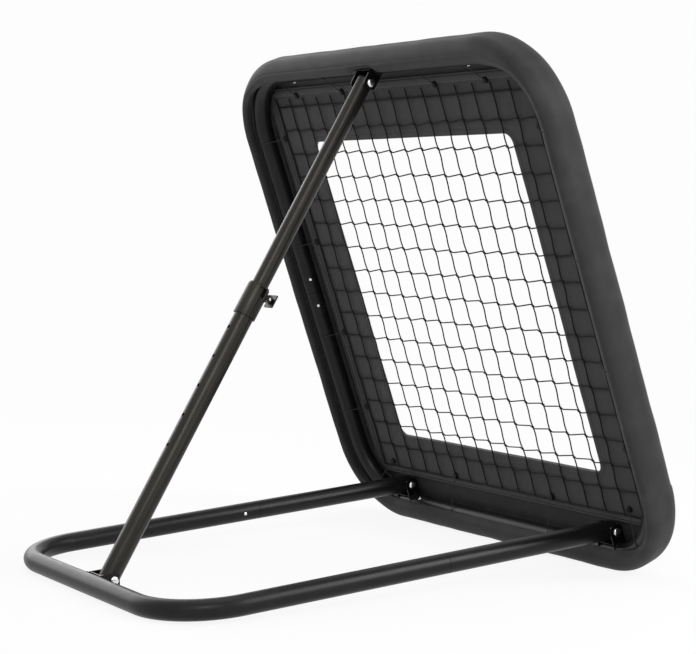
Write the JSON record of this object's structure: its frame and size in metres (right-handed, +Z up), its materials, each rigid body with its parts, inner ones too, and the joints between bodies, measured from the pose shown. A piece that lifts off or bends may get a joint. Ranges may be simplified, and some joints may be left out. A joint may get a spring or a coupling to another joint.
{
  "type": "folding ball rebounder",
  "caption": "Square tube hoop with a padded edge and a framed net, leaning back on a hinged U-shaped base and a telescopic prop.",
  "frame": {"origin": "on the floor under the middle of the object's box", "axes": "+X across the hoop, +Y towards the rear of the base, +Z up"},
  "size_m": [0.898, 0.8605, 0.858],
  "materials": {
    "black_powder_coat": "satin",
    "gloss_black_paint": "gloss",
    "bronze_grey_paint": "satin",
    "black_bumper_skin": "matte",
    "dark_grey_cloth": "matte",
    "black_net_cord": "matte",
    "black_elastic": "matte",
    "black_plastic": "satin",
    "bright_zinc": "polished",
    "spring_steel": "satin"
  },
  "bodies": {
    "base": {"base_leg_left": "black_powder_coat", "leg_plug_left": "black_plastic", "snap_spring_left": "spring_steel", "base_leg_right": "black_powder_coat", "leg_plug_right": "black_plastic", "snap_spring_right": "spring_steel", "base_rear_tube": "black_powder_coat", "foot_bracket": "gloss_black_paint", "foot_bolt": "bright_zinc", "foot_nut": "bright_zinc"},
    "ring": {"ring_tube_upper": "black_powder_coat", "ring_tube_lower": "black_powder_coat", "splice_sleeve_left": "black_powder_coat", "splice_rivet_left_upper": "bright_zinc", "splice_rivet_left_lower": "bright_zinc", "splice_sleeve_right": "black_powder_coat", "splice_rivet_right_upper": "bright_zinc", "splice_rivet_right_lower": "bright_zinc", "ring_bumper": "black_bumper_skin", "bumper_screw_bottom_left": "bright_zinc", "bumper_screw_bottom_right": "bright_zinc", "bumper_screw_top_left": "bright_zinc", "bumper_screw_top_right": "bright_zinc", "border_panel": "dark_grey_cloth", "net": "black_net_cord", "tie_left_1": "black_elastic", "tie_left_2": "black_elastic", "tie_left_3": "black_elastic", "tie_left_4": "black_elastic", "tie_right_1": "black_elastic", "tie_right_2": "black_elastic", "tie_right_3": "black_elastic", "tie_right_4": "black_elastic", "tie_top_1": "black_elastic", "tie_top_2": "black_elastic", "tie_top_3": "black_elastic", "tie_top_4": "black_elastic", "tie_bottom_1": "black_elastic", "tie_bottom_2": "black_elastic", "tie_bottom_3": "black_elastic", "tie_bottom_4": "black_elastic", "hinge_bracket_left": "gloss_black_paint", "hinge_bolt_left": "bright_zinc", "hinge_nut_left": "bright_zinc", "hinge_bracket_right": "gloss_black_paint", "hinge_bolt_right": "bright_zinc", "hinge_nut_right": "bright_zinc", "top_clevis": "gloss_black_paint", "top_bolt": "bright_zinc", "top_nut": "bright_zinc"},
    "strut_upper": {"strut_upper_tube": "bronze_grey_paint", "strut_top_plug": "black_plastic"},
    "strut_lower": {"strut_lower_tube": "bronze_grey_paint", "strut_foot_plug": "black_plastic", "strut_collar": "bronze_grey_paint", "clip_pin": "bright_zinc", "clip_spring": "spring_steel"},
    "lever": {"clip_lever": "bronze_grey_paint"},
    "button_left": {"snap_button_left": "bright_zinc"},
    "button_right": {"snap_button_right": "bright_zinc"}
  },
  "joints": [
    {"name": "ring_fold", "type": "hinge", "parent": "base", "child": "ring", "pos_m": [0, -0.37978, 0.06521], "axis": [-1, 0, 0], "range_deg": [0, 68]},
    {"name": "strut_swing", "type": "hinge", "parent": "ring", "child": "strut_upper", "pos_m": [0, -0.09382, 0.79363], "axis": [-1, 0, 0], "range_deg": [0, 48]},
    {"name": "strut_slide", "type": "slide", "parent": "strut_upper", "child": "strut_lower", "axis": [0, -0.5186, 0.855], "range_m": [0, 0.28]},
    {"name": "clip_lever", "type": "hinge", "parent": "strut_lower", "child": "lever", "pos_m": [0, 0.0915, 0.4427], "axis": [-1, 0, 0], "range_deg": [0, 18], "stiffness_Nm_per_rad": 0.08, "springref_deg": -20.05},
    {"name": "button_left", "type": "slide", "parent": "base", "child": "button_left", "axis": [1, 0, 0], "range_m": [0, 0.0027], "stiffness_N_per_m": 1500, "springref_m": -0.003, "deforming": ["snap_spring_left"]},
    {"name": "button_right", "type": "slide", "parent": "base", "child": "button_right", "axis": [-1, 0, 0], "range_m": [0, 0.0027], "stiffness_N_per_m": 1500, "springref_m": -0.003, "deforming": ["snap_spring_right"]}
  ]
}
